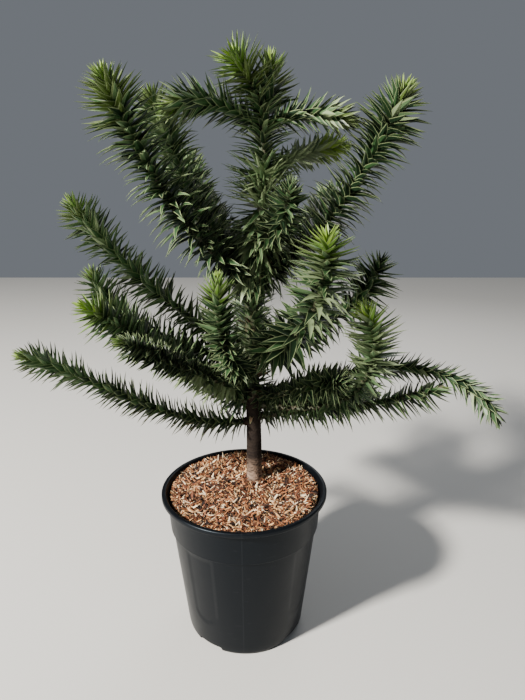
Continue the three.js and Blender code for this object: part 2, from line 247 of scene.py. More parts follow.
# Patches: soft blotches from noise, cut to a share of the surface.
def makePatches():
    inputs = {"Scale": 20.0, "Low": 0.45, "High": 0.65, "Stretch": (1, 1, 1)}
    tree, given, out = newTree("patches", "ShaderNodeTree", inputs, "Mask", "Float")
    stretched = objectPlace(tree).calc("MULTIPLY", given["Stretch"])
    noise = flowFrom(tree, "ShaderNodeTexNoise", {
        "Vector": stretched, "Scale": given["Scale"], "Detail": 5.0, "Roughness": 0.6})
    feed(out, rangeOf(noise, given["Low"], given["High"]))
    return tree


# Grain: a fine uneven height for a Bump node.
def makeGrain():
    inputs = {"Scale": 300.0, "Stretch": (1, 1, 1)}
    tree, given, out = newTree("grain", "ShaderNodeTree", inputs, "Height", "Float")
    spread = {"Vector": objectPlace(tree).calc("MULTIPLY", given["Stretch"]), "Scale": given["Scale"]}
    coarse = flowFrom(tree, "ShaderNodeTexNoise", {**spread, "Detail": 3.0})
    fine = flowFrom(tree, "ShaderNodeTexVoronoi", spread, "Distance")
    feed(out, fine.calc("MULTIPLY_ADD", 0.5, coarse))
    return tree


groups = {"patches": makePatches(), "grain": makeGrain()}


def place(tree, name, **values):
    return flowFrom(tree, "ShaderNodeGroup", values, node_tree=groups[name])


def newMaterial(name, look, **plain):
    material = bpy.data.materials.new(name)
    material.use_nodes = True
    inputs = material.node_tree.nodes["Principled BSDF"].inputs
    inputs["Base Color"].default_value = (*look["colour"], 1)
    inputs["Roughness"].default_value = look["roughness"]
    for key, value in plain.items():
        inputs[key.replace("_", " ")].default_value = value
    material.diffuse_color = (*look["colour"], 1)
    return material, material.node_tree, inputs


def makeTones(what, tones, **plain):
    return {name: newMaterial(f"{what} {name}", look, **plain)[0] for name, look in tones.items()}


def addBump(inputs, height, strength, distance):
    values = {"Height": height, "Strength": strength, "Distance": distance}
    feed(inputs["Normal"], flowFrom(height.tree, "ShaderNodeBump", values))


# Leaves: one plain waxy colour for each tone, dealt out spray by spray
leafTones = {
    "deep": {"colour": (0.008, 0.021, 0.008), "roughness": 0.42},
    "green": {"colour": (0.026, 0.064, 0.021), "roughness": 0.42},
    "sage": {"colour": (0.079, 0.140, 0.060), "roughness": 0.44},
    "pale": {"colour": (0.205, 0.268, 0.138), "roughness": 0.48},
    "olive": {"colour": (0.064, 0.102, 0.020), "roughness": 0.44},
    "fresh": {"colour": (0.085, 0.165, 0.022), "roughness": 0.44},
    "young": {"colour": (0.190, 0.310, 0.032), "roughness": 0.44},
    "withered": {"colour": (0.095, 0.052, 0.028), "roughness": 0.80},
}
edgeLook = {"colour": (0.200, 0.248, 0.118), "roughness": 0.50}

# Bark is dark under the foliage, its own dark colour darkened further as painted shade of the crown,
# and greyer and paler at the open foot, partly painted sunlight, from one height to the other.
barkLook = {"colour": (0.013, 0.009, 0.007), "pale": (0.420, 0.285, 0.205), "dark": (0.006, 0.004, 0.004),
            "roughness": 0.85, "shadedFrom": 0.296, "openBelow": 0.245, "shadedShare": 0.025,
            "bump": (0.6, 0.0008)}


def makeBarkMaterial():
    material, tree, inputs = newMaterial("ringed bark", barkLook, Specular_IOR_Level=0.15)
    dark = place(tree, "patches", Scale=60.0, Low=0.42, High=0.68, Stretch=(1, 1, 4))
    base = mixColour(dark, barkLook["colour"], barkLook["dark"])
    lit = place(tree, "patches", Scale=110.0, Low=0.34, High=0.60, Stretch=(1, 1, 4))
    # Painted shade of the crown: above the open foot the pale patches fade to a small share.
    foot = rangeOf(partOf(objectPlace(tree), "Z"), barkLook["shadedFrom"], barkLook["openBelow"],
                   (barkLook["shadedShare"], 1.0))
    feed(inputs["Base Color"], mixColour(lit * foot, base, barkLook["pale"]))
    addBump(inputs, place(tree, "grain", Scale=420.0, Stretch=(1, 1, 3)), *barkLook["bump"])
    return material


# Plastic with a film of dust, specks, a few scuffs, and the mould's raised seam where X is 0. Each
# share is how far that colour covers the one below it.
potLook = {"colour": (0.0026, 0.0032, 0.0044), "dust": (0.021, 0.021, 0.022), "filmShare": 0.06,
           "speckShare": 0.25, "scuff": (0.018, 0.019, 0.022), "scuffShare": 0.30,
           "seam": (0.010, 0.011, 0.013), "seamShare": 0.7, "seamEdges": (0.0009, 0.0004),
           "seamHeight": 0.8, "roughness": 0.34, "dustyRoughness": 0.56, "tint": (0.72, 0.86, 1.0, 1.0),
           "bump": (0.12, 0.0003)}


def makePotMaterial():
    material, tree, inputs = newMaterial("black moulded plastic", potLook, Specular_IOR_Level=0.16,
                                         Specular_Tint=potLook["tint"])
    dust = place(tree, "patches", Scale=9.0, Low=0.42, High=0.80, Stretch=(1, 1, 0.6))
    specks = place(tree, "patches", Scale=260.0, Low=0.60, High=0.74)
    scuffs = place(tree, "patches", Scale=55.0, Low=0.62, High=0.70, Stretch=(1, 1, 5))
    film = dust * specks.calc("MULTIPLY_ADD", potLook["speckShare"], potLook["filmShare"])
    dusty = mixColour(film, potLook["colour"], potLook["dust"])
    worn = mixColour(scuffs * potLook["scuffShare"], dusty, potLook["scuff"])
    seam = rangeOf(partOf(objectPlace(tree), "X").calc("ABSOLUTE"), *potLook["seamEdges"])
    feed(inputs["Base Color"], mixColour(seam * potLook["seamShare"], worn, potLook["seam"]))
    feed(inputs["Roughness"], rangeOf(dust, 0, 1, (potLook["roughness"], potLook["dustyRoughness"])))
    height = seam.calc("MULTIPLY_ADD", potLook["seamHeight"], place(tree, "grain", Scale=900.0))
    addBump(inputs, height, *potLook["bump"])
    return material


chipTones = {
    "umber": {"colour": (0.018, 0.008, 0.005), "roughness": 0.86, "share": 0.30},
    "russet": {"colour": (0.140, 0.044, 0.018), "roughness": 0.86, "share": 0.28},
    "tan": {"colour": (0.360, 0.145, 0.058), "roughness": 0.86, "share": 0.20},
    "straw": {"colour": (0.670, 0.390, 0.180), "roughness": 0.86, "share": 0.13},
    "bleached": {"colour": (0.900, 0.720, 0.480), "roughness": 0.86, "share": 0.09},
}
soilLook = {"colour": (0.030, 0.020, 0.013), "second": (0.075, 0.045, 0.026), "roughness": 0.95,
            "patches": {"Scale": 190.0, "Low": 0.42, "High": 0.60}, "grain": 240.0, "bump": (0.9, 0.002)}
stemLook = {"colour": (0.026, 0.044, 0.016), "second": (0.050, 0.042, 0.020), "roughness": 0.6,
            "patches": {"Scale": 120.0, "Low": 0.40, "High": 0.62}, "grain": 500.0, "bump": (0.5, 0.0006)}


# A dull stuff of two colours in patches, with a fine grain.
def makeMottled(name, look):
    material, tree, inputs = newMaterial(name, look)
    patches = place(tree, "patches", **look["patches"])
    feed(inputs["Base Color"], mixColour(patches, look["colour"], look["second"]))
    addBump(inputs, place(tree, "grain", Scale=look["grain"]), *look["bump"])
    return material


leafMaterials = makeTones("leaf", leafTones, Specular_IOR_Level=0.42)
edgeMaterial = newMaterial("leaf edge", edgeLook)[0]
chipMaterials = makeTones("bark chip", chipTones)
barkMaterial = makeBarkMaterial()
potMaterial = makePotMaterial()
soilMaterial = makeMottled("dark humus", soilLook)
stemMaterial = makeMottled("green stem", stemLook)
print("materials made:", len(bpy.data.materials))


# The plant's rule: where the trunk and the shoots run
trunk = {"bottom": 222.3, "top": 858, "footRadius": 13.5, "topRadius": 5.4, "flare": 3.5,
         "flareHeight": 10, "footX": 16, "footY": 25}
sway = {
    "low": {"from": 300, "to": 470, "x": -3},
    "high": {"from": 540, "to": 720, "x": 18},
    "forward": {"from": 222.3, "to": 700, "y": -7},
    "curl": {"from": 800, "over": 60, "x": -19, "y": -6},
}
twig = {"rootRadius": 5.0, "tipRadius": 3.2, "steps": 60}

# A shoot leaves the trunk at a height and a heading, turns on its way, and has its rise at the root,
# the middle and the tip. 'lean' is how far its leaves stand out. Back from its tip it is olive, fresh
# green and young yellow over three distances, and 'pale' is how many of its leaves are pale, partly
# their own pale colour and partly painted sunlight.
shootColumns = ("height", "heading", "turn", "rise", "length", "leafLength", "lean", "olive", "fresh",
                "young", "pale")
shootRows = {
    "low_left": (356, 188, -4, (-8, 26, 16), 380, 36, 69, 26, 15, 6, 0.02),
    "low_left_front": (382, 205, -2, (37, 37, 34), 308, 44, 78, 38, 28, 13, 0.05),
    "low_front_left": (408, 222, 0, (20, 31, 28), 258, 32, 70, 12, 5, 0, 0),
    "low_front": (398, 320, -10, (8, 26, 10), 194, 36, 74, 0, 0, 0, 0),
    "low_right_front": (385, 333, -16, (2, 36, 135), 321, 44, 82, 28, 27, 18, 0.45),
    "low_right": (362, 345, -2, (13, 14, 24), 301, 42, 76, 4, 0, 0, 0.05),
    "low_right_long": (408, 355, -16, (3, 10, -67), 407, 32, 60, 0, 0, 0, 0.04),
    "low_back_right": (379, 38, -5, (-6, -8, -10), 280, 42, 76, 14, 4, 0, 0.03),
    "low_back_left": (385, 138, -2, (6, 12, 8), 240, 42, 76, 14, 4, 0, 0.03),
    "middle_left": (441, 172, 1, (27, 21, 75), 309, 42, 78, 16, 8, 0, 0.02),
    "middle_left_long": (471, 162, 3, (21, 37, 51), 385, 44, 80, 34, 20, 7, 0.06),
    "middle_front": (438, 244, 15, (16, 53, 105), 225, 34, 66, 34, 30, 6, 0.05),
    "middle_right_front": (474, 312, -9, (11, 48, 98), 269, 52, 88, 30, 27, 13, 0.45),
    "middle_right": (484, 17, 0, (11, 23, 78), 267, 50, 88, 0, 0, 0, 0),
    "middle_back": (446, 93, -1, (12, 20, 26), 225, 42, 78, 14, 4, 0, 0.03),
    "high_left_front": (586, 209, 3, (27, 55, 64), 339, 53, 87, 44, 12, 3, 0.03),
    "high_left": (611, 162, 6, (19, 63, 67), 296, 49, 84, 20, 6, 0, 0.45),
    "high_right": (583, 352, 6, (28, 54, 67), 343, 53, 87, 22, 12, 5, 0.03),
    "high_back_left": (600, 126, -9, (12, 37, 44), 310, 47, 82, 14, 4, 0, 0.03),
    "high_back_right": (593, 49, 4, (28, 22, 52), 270, 47, 82, 14, 4, 0, 0.03),
    "upper_front_right": (642, 297, -9, (21, 32, 78), 142, 32, 74, 0, 0, 0, 0.03),
    # upper_back_right's young and pale tones are partly painted sunlight on a shoot the key lamp leaves
    # in shade.
    "upper_back_right": (735, 34, -6, (35, 16, 7), 158, 30, 66, 0, 0, 58, 0.85),
    "top_left": (800, 191, -5, (27, 15, -41), 145, 42, 60, 32, 14, 4, 0.04),
    "top_right": (803, 355, 0, (23, 3, -26), 128, 36, 56, 40, 8, 0, 0.36),
    "top_back": (812, 64, -30, (50, 80, 82), 83, 42, 64, 60, 30, 9, 0.30),
}
shoots = {name: dict(zip(shootColumns, row)) for name, row in shootRows.items()}

# Stretches of the trunk with leaves of their own, some of them withered. Their 'pale' and 'lighter'
# columns are partly painted sunlight on the leaves of the trunk's sleeve.
stretchColumns = ("bottom", "top", "count", "leafLength", "leafWidth", "lean", "leanSpread", "withered",
                  "pale", "lighter")
stretchRows = {
    "bare": (362, 396, 7, 19, 7.4, 114, 0.2, 1, 0, 0),
    "foot": (399, 442, 60, 36, 7.4, 72, 0.2, 0.3, 0.05, 0),
    "lower": (444, 590, 220, 37, 7.0, 60, 0.2, 0.02, 0.12, 0.05),
    "fork": (592, 640, 120, 50, 11.0, 138, 0.35, 0.01, 0.3, 0.3),
    "upper": (641, 690, 170, 56, 9.0, 112, 0.5, 0, 0.4, 0.35),
    "shoulder": (691, 745, 190, 56, 8.0, 74, 0.45, 0, 0.5, 0.4),
    "leader": (746, 886, 285, 50, 7.4, 76, 0.2, 0, 0.12, 0),
}
usualStretch = dict(leanLoss=0, crowding=0, closing=0.01, slimRoot=0, waist=0, olive=0, fresh=0,
                    lightening=0, paleFrom=-1)

# Where a shoot or a stretch differs from the leafy tree's own values. 'lightening' is how much darker
# its inner half is, partly painted shade inside the crown and partly the darker colour of older leaves,
# 'lighter' how far all its tones are shifted, painted light on some shoots and painted shade on others,
# 'crowding' how much closer its leaves sit at the tip, 'closing' the reach over which they close up,
# 'combed' how much shorter they are on its upper side, 'slimRoot' how much shorter they are near the
# trunk, 'paleFrom' the share of its length where pale ones start, and 'paleBelow' how many that hang
# under its inner part are painted pale, as painted sunlight.
habits = {
    "low_left": dict(crowding=0.15, lightening=0.9, lighter=-0.06),
    "low_left_front": dict(lightening=0.2, lighter=0.2, paleBelow=1),
    "low_front_left": dict(lightening=0.1, lighter=-0.55, combed=0.3, paleBelow=1),
    "low_right_front": dict(crowding=0.5, lightening=0.8, lighter=0.2, slimRoot=0.45, rootPower=2.5),
    "low_right_long": dict(crowding=0.15, spacing=1.25, lightening=0.6, lighter=-0.22, combed=0.15),
    "low_right": dict(crowding=0.1, spacing=1.25, lightening=0.6, lighter=-0.15, combed=0.6, slimRoot=0.2,
                      rootPower=2.5),
    "low_front": dict(lightening=0, lighter=-0.45, slimRoot=0.4, rootPower=2.5),
    "middle_left": dict(lightening=0.8, lighter=-0.1),
    "middle_front": dict(lightening=0.9),
    "middle_right_front": dict(lightening=0.9, paleFrom=0.4),
    "middle_right": dict(lightening=0.1),
    "high_left_front": dict(closing=50, crowding=0.6),
    "high_left": dict(paleFrom=0.55, crowding=0.5),
    "high_right": dict(paleFrom=0.6, closing=50, crowding=0.6, lighter=-0.32),
    "upper_front_right": dict(lighter=-0.15),
    # painted sunlight: pale tones from its root and all tones lighter, on a shoot in the key lamp's shade
    "upper_back_right": dict(paleFrom=-0.3, lighter=0.3),
    "top_back": dict(lighter=0.3),
    "bare": dict(stem=0),
    "leader": dict(olive=46, fresh=20, young=5, tipRadius=4.0, crowding=0.35, closing=34, closingLean=36,
                   closingLoss=0.28),
}


def trunkCentre(height):
    height = np.asarray(height, float)
    low, high, forward = (smoothstep(height, sway[name]["from"], sway[name]["to"])
                          for name in ("low", "high", "forward"))
    curl = sway["curl"]
    curled = (np.maximum(0, height - curl["from"]) / curl["over"]) ** 2
    x = trunk["footX"] + sway["low"]["x"] * low + sway["high"]["x"] * high + curl["x"] * curled
    y = trunk["footY"] + sway["forward"]["y"] * forward + curl["y"] * curled
    return np.stack([x, y, height], axis=-1)


def trunkRadius(height):
    height = np.asarray(height, float)
    share = (height - trunk["bottom"]) / (trunk["top"] - trunk["bottom"])
    flare = trunk["flare"] * np.exp((trunk["bottom"] - height) / trunk["flareHeight"])
    return lerp(trunk["footRadius"], trunk["topRadius"], share) + flare


def riseAt(rise, share):
    root, middle, tip = rise
    slope = 4 * middle - 3 * root - tip
    bend = 2 * root - 4 * middle + 2 * tip
    return root + slope * share + bend * share * share


def shootDirection(shoot, share):
    rise = math.radians(riseAt(shoot["rise"], share))
    heading = math.radians(shoot["heading"] + shoot["turn"] * share)
    level = math.cos(rise)
    return np.array([math.cos(heading) * level, math.sin(heading) * level, math.sin(rise)])


# Points along a shoot from the trunk's centre line to the tip.
def shootPath(shoot):
    steps = twig["steps"]
    points = [trunkCentre(shoot["height"])]
    for i in range(steps):
        direction = shootDirection(shoot, (i + 0.5) / steps)
        points.append(points[-1] + direction * shoot["length"] / steps)
    return np.array(points)


# Small shapes for a tree to set out, each as its points, its faces and the slot of each face.
def makeShelf(name, shapes, materials=()):
    shelf = bpy.data.collections.new(name)
    for label, (points, faces, slots) in shapes.items():
        mesh = makeMesh(label, points, faces, materials, slots)
        recalculate(mesh)
        shelf.objects.link(bpy.data.objects.new(label, mesh))
    return shelf


def clearShelf(shelf):
    for shape in list(shelf.objects):
        bpy.data.objects.remove(shape)
    bpy.data.collections.remove(shelf)


# Leaf blades: stiff, keeled below, hollowed above, broad at the root and drawn to a sharp point,
# with a pale edge. Distances across and up count in leaf widths.
leafShapes = {
    "1 arched": {"bow": 2.0, "fold": 0.09, "sway": -0.10},
    "2 straight": {"bow": 0.5, "fold": 0.12, "sway": 0.12},
    "3 cupped": {"bow": -0.5, "fold": 0.16, "sway": -0.05},
}
blade = {"outline": ((0.0, 0.96), (0.20, 1.0), (0.50, 0.74), (0.78, 0.37)), "keel": 0.16,
         "keelAtTip": 0.03, "edge": 0.07, "leastInner": 0.35, "edgeFaces": (0, 3, 4, 7)}


# One ring round the blade: edge, upper side, other edge, keel.
def leafRing(shape, along, width):
    middle = shape["sway"] * along * along
    bend = shape["bow"] * along * (1 - along)
    half = width / 2
    inner = max(half - blade["edge"], blade["leastInner"] * half)
    keel = bend - blade["keel"] * (1 - along) - blade["keelAtTip"]
    rise = bend + shape["fold"] * width
    top, under = lerp(bend, rise, inner / half), lerp(keel, rise, inner / half)
    offsets = ((half, rise), (inner, top), (0, bend), (-inner, top),
               (-half, rise), (-inner, under), (0, keel), (inner, under))
    return [(middle + across, along, height) for across, height in offsets]


def makeLeafShapes():
    shapes = {}
    for name, shape in leafShapes.items():
        rings = [leafRing(shape, along, width) for along, width in blade["outline"]]
        sides = len(rings[0])
        faces = domeFaces(len(rings), sides)
        slots = [int(i % sides in blade["edgeFaces"]) for i in range(len(faces) - 1)]
        shapes[f"leaf {name}"] = [*sum(rings, []), (shape["sway"], 1.0, 0.0)], faces, [*slots, 0]
    return makeShelf("leaf shapes", shapes, [leafMaterials["green"], edgeMaterial])


# The tree of nodes that dresses a line with a stem and a spiral of leaves
leafyInputs = {
    "Geometry": "Geometry", "Leaf shapes": "Collection", "Leaves": 100, "Leaf length": 42 * mm,
    "Leaf width": 11 * mm, "Root radius": 5 * mm, "Tip radius": 3 * mm, "Length": 300 * mm,
    "Stem": 1.0, "Crowding": 0.4,
    "Golden angle": 137.5 * degree, "Lean": 78 * degree, "Lean loss": 12 * degree, "Lean spread": 0.19,
    "Closing": 34 * mm, "Closing power": 1.5, "Closing lean": 46 * degree, "Closing loss": 0.42,
    "Slim root": 0.1, "Root power": 12.0, "Combed": 0.0, "Waist": 0.2, "Waist spacing": 125 * mm,
    "Young": 0.0, "Fresh": 4 * mm, "Olive": 14 * mm, "Withered": 0.0, "Pale": 0.03, "Pale from": 0.45,
    "Pale below": 0.0, "Lightening": 0.5, "Lighter": 0.0, "Spray": 5.0, "Straightness": 0.0, "Seed": 1,
}
leafyUnits = {
    **dict.fromkeys(("Leaf length", "Leaf width", "Root radius", "Tip radius", "Length"), mm),
    **dict.fromkeys(("Closing", "Young", "Fresh", "Olive"), mm),
    **dict.fromkeys(("Lean", "Lean loss", "Closing lean"), degree),
}
toneOrder = ("deep", "green", "sage", "pale", "olive", "fresh", "young", "withered")
stemKind = len(toneOrder)
leafRule = {
    "spinSpread": 0.28, "seated": 0.72, "waistPower": 8, "sizes": (0.84, 1.07), "widths": (0.88, 1.1),
    "sprayShare": 0.5, "greenFrom": 0.44, "sageFrom": 0.68, "paleRamp": 0.3, "hanging": -0.35,
    "sunlitBelowAt": 0.27, "sunlitBelowReach": 0.17, "ageing": (0.7, 1.5), "cuppedReach": 0.09, "cupping": 1.6,
    "shapeSpread": 1.4,
}


def randomOf(seed, offset, low, high, identity=None):
    inputs = {"Min": low, "Max": high, "Seed": seed + offset, "ID": identity}
    return flowFrom(seed.tree, "FunctionNodeRandomValue", inputs, data_type="FLOAT")


# The tree's name for an entry in the plant's tables: 'paleFrom' is its input 'Pale from'.
def labelOf(key):
    return "".join(f" {letter.lower()}" if letter.isupper() else letter for letter in key).capitalize()


# The tone so far, or the named one where the test holds and it comes later in the order.
def turnedTo(name, test, tone):
    return tone.calc("MAXIMUM", test * toneOrder.index(name))


def makeLeafyTree():
    tree, given, out = newTree("leafy shoot", "GeometryNodeTree", leafyInputs, "Geometry", "Geometry")
    rule, seed = leafRule, given["Seed"]
    line = flowFrom(tree, "GeometryNodeMeshToCurve", {"Mesh": given["Geometry"]})

    # where each leaf sits: closer together towards the tip
    index = flowFrom(tree, "GeometryNodeInputIndex")
    even = index / (given["Leaves"] - 1)
    left = 1 - even
    bunched = 1 - left * left
    share = even * (1 - given["Crowding"]) + bunched * given["Crowding"]
    sample = addNode(tree, "GeometryNodeSampleCurve", {"Curves": line, "Factor": share}, mode="FACTOR")
    along, side, middle = (Flow(sample.outputs[name]) for name in ("Tangent", "Normal", "Position"))
    across = along.calc("CROSS_PRODUCT", side)

    # which way it points: round the stem by the golden angle, and out from it by the lean
    spin = index * given["Golden angle"] + randomOf(seed, 1, -rule["spinSpread"], rule["spinSpread"])
    outward = side * spin.calc("COSINE") + across * spin.calc("SINE")
    tipDistance = (1 - share) * given["Length"]
    nearTip = 1 - tipDistance / given["Closing"]
    closed = nearTip.calc("MAXIMUM", 0).calc("POWER", given["Closing power"])
    lean = given["Lean"] - given["Lean loss"] * share - given["Closing lean"] * closed
    lean = lean + randomOf(seed, 2, -1, 1) * given["Lean spread"]
    leanCos, leanSin = lean.calc("COSINE"), lean.calc("SINE")
    ahead = along * leanCos + outward * leanSin
    upper = along * leanSin - outward * leanCos
    turn = flowFrom(tree, "FunctionNodeAxesToRotation", {"Primary Axis": ahead, "Secondary Axis": upper},
                    primary_axis="Y", secondary_axis="Z")

    # how large it is
    taper = given["Tip radius"] - given["Root radius"]
    radius = taper * share + given["Root radius"]
    spot = middle + outward * (radius * rule["seated"])
    beat = (tipDistance / given["Waist spacing"] * math.pi).calc("COSINE").calc("ABSOLUTE")
    facing = partOf(outward, "Z")
    shorter = 1 - closed * given["Closing loss"]
    shorter = shorter - left.calc("POWER", given["Root power"]) * given["Slim root"]
    shorter = shorter - beat.calc("POWER", rule["waistPower"]) * given["Waist"]
    shorter = shorter - facing.calc("MAXIMUM", 0) * given["Combed"]
    size = shorter * randomOf(seed, 3, *rule["sizes"])
    width = given["Leaf width"] * size * randomOf(seed, 4, *rule["widths"])
    scale = flowFrom(tree, "ShaderNodeCombineXYZ", (width, given["Leaf length"] * size, width))

    # its tone: by spray, lighter outwards, partly painted shade on the inner leaves, pale ones partly
    # painted sunlight, with young leaves at the tip
    spray = (index / given["Spray"]).calc("FLOOR")
    dealt = (randomOf(seed, 5, 0, 1, spray) * rule["sprayShare"]
             + randomOf(seed, 6, 0, 1) * (1 - rule["sprayShare"]))
    # Lightening darkens the inner half, partly painted shade; Lighter shifts the whole shoot, painted
    # light on some shoots and painted shade on others.
    dealt = dealt + (share - 0.5) * given["Lightening"] + given["Lighter"]
    tone = (dealt > rule["greenFrom"]) + (dealt > rule["sageFrom"])
    paleShare = given["Pale"] * rangeOf(share, given["Pale from"], given["Pale from"] + rule["paleRamp"])
    tone = turnedTo("pale", randomOf(seed, 7, 0, 1) < paleShare, tone)
    # leaves hanging under the inner part, made pale as painted sunlight
    inner = (share - rule["sunlitBelowAt"]).calc("ABSOLUTE") < rule["sunlitBelowReach"]
    below = (facing < rule["hanging"]) * inner
    tone = turnedTo("pale", (randomOf(seed, 11, 0, 1) < given["Pale below"]) * below, tone)
    aged = tipDistance * randomOf(seed, 8, *rule["ageing"])
    for name in ("olive", "fresh", "young"):
        tone = turnedTo(name, aged < given[labelOf(name)], tone)
    tone = turnedTo("withered", randomOf(seed, 9, 0, 1) < given["Withered"], tone)

    # old leaves arch back, young ones are cupped
    youth = (1 - tipDistance / rule["cuppedReach"]) * rule["cupping"]
    shape = randomOf(seed, 10, 0, rule["shapeSpread"]) + youth.calc("MAXIMUM", 0) + given["Straightness"]
    shape = shape.calc("FLOOR").calc("MINIMUM", len(leafShapes) - 1)
    points = flowFrom(tree, "GeometryNodePoints", {"Count": given["Leaves"], "Position": spot})
    leaves = setOut(withKind(points, tone), given["Leaf shapes"], shape, turn, scale)
    dressed = paintKinds(leaves, [leafMaterials[name] for name in toneOrder], edgeMaterial)

    # the stem under them
    factor = flowFrom(tree, "GeometryNodeSplineParameter", output="Factor")
    ring = flowFrom(tree, "GeometryNodeCurvePrimitiveCircle", {"Resolution": 10, "Radius": 1.0})
    tube = flowFrom(tree, "GeometryNodeCurveToMesh", {
        "Curve": line, "Profile Curve": ring, "Fill Caps": True,
        "Scale": (taper * factor + given["Root radius"]) * given["Stem"]})
    stem = flowFrom(tree, "GeometryNodeSetMaterial", {
        "Geometry": withKind(tube, stemKind), "Material": stemMaterial})
    both = addNode(tree, "GeometryNodeJoinGeometry", (stem,))
    feed(both.inputs[0], dressed)
    feed(out, Flow(both.outputs[0]))
    return tree


def withKind(geometry, kind):
    return flowFrom(geometry.tree, "GeometryNodeStoreNamedAttribute", {
        "Geometry": geometry, "Name": "kind", "Value": kind}, data_type="INT", domain="POINT")


# A real copy of one shape from the shelf at each point.
def setOut(points, shelf, number, turn, scale):
    shapes = flowFrom(points.tree, "GeometryNodeCollectionInfo", {
        "Collection": shelf, "Separate Children": True, "Reset Children": True})
    placed = flowFrom(points.tree, "GeometryNodeInstanceOnPoints", {
        "Points": points, "Instance": shapes, "Pick Instance": True, "Instance Index": number,
        "Rotation": turn, "Scale": scale})
    return flowFrom(points.tree, "GeometryNodeRealizeInstances", (placed,))


# Gives each face the material of its kind, apart from faces that already have the kept one.
def paintKinds(geometry, materials, kept):
    tree = geometry.tree
    kind = flowFrom(tree, "GeometryNodeInputNamedAttribute", {"Name": "kind"}, data_type="INT")
    isKept = flowFrom(tree, "GeometryNodeMaterialSelection", {"Material": kept})
    for number, material in enumerate(materials):
        same = flowFrom(tree, "FunctionNodeCompare", {"A": kind, "B": number}, data_type="INT",
                        operation="EQUAL")
        chosen = flowFrom(tree, "FunctionNodeBooleanMath", (same, isKept), operation="NIMPLY")
        geometry = flowFrom(tree, "GeometryNodeSetMaterial", {
            "Geometry": geometry, "Selection": chosen, "Material": material})
    return geometry


# Runs a tree on a line of points and gives the finished mesh.
def dressLine(tree, points, values):
    mesh = bpy.data.meshes.new("line")
    mesh.from_pydata((points * mm).tolist(), [(i, i + 1) for i in range(len(points) - 1)], [])
    return runTree(tree, mesh, values)


def runTree(tree, mesh, values):
    carrier = addObject("carrier", mesh)
    modifier = carrier.modifiers.new("dress", "NODES")
    modifier.node_group = tree
    sockets = {item.name: item.identifier for item in tree.interface.items_tree if item.in_out == "INPUT"}
    for name, value in values.items():
        modifier[sockets[name]] = value
    made = finishedMesh(carrier)
    bpy.data.objects.remove(carrier)
    return made


def readAll(items, name, kind, size=1):
    values = np.zeros(len(items) * size, kind)
    items.foreach_get(name, values)
    return values


# Collects meshes by the number in their 'kind' attribute, so that each kind becomes one piece.
class Heap:
    def __init__(self):
        self.kinds = {}

    def add(self, mesh):
        points = readAll(mesh.vertices, "co", float, 3).reshape(-1, 3)
        corners = readAll(mesh.loops, "vertex_index", int)
        starts = readAll(mesh.polygons, "loop_start", int)
        totals = readAll(mesh.polygons, "loop_total", int)
        slots = readAll(mesh.polygons, "material_index", int)
        kinds = readAll(mesh.attributes["kind"].data, "value", int)[corners[starts]]
        looks = [material and material.name for material in mesh.materials]
        for number in np.unique(kinds).tolist():
            chosen = np.flatnonzero(kinds == number)
            faces = [corners[starts[i]:starts[i] + totals[i]] for i in chosen]
            used, places = np.unique(np.concatenate(faces), return_inverse=True)
            held = self.kinds.setdefault(number, {"points": [], "faces": [], "looks": [], "count": 0})
            cuts = np.cumsum([len(face) for face in faces])[:-1]
            held["faces"] += [tuple(face) for face in np.split(places + held["count"], cuts)]
            held["looks"] += [looks[slots[i]] for i in chosen]
            held["points"].append(points[used])
            held["count"] += len(used)
        bpy.data.meshes.remove(mesh)

    def piece(self, name, number, smooth):
        held = self.kinds[number]
        looks = sorted(set(held["looks"]), key=held["looks"].index)
        materials = [bpy.data.materials[look] for look in looks]
        slots = [looks.index(look) for look in held["looks"]]
        points = np.concatenate(held["points"]) / mm
        made = makePiece(name, points, held["faces"], materials, slots, smooth)
        announce(made)
        return made


# Foliage
foliage = {"spacing": {"lower": 1.0, "upper": 0.8}, "highFrom": 580, "leafWidth": 6.6, "widthGain": 0.10,
           "startGap": 1.5, "trunkSkin": 1.0, "straightBelow": 48, "crease": 30}


def tierOf(height):
    return "upper" if height >= foliage["highFrom"] else "lower"


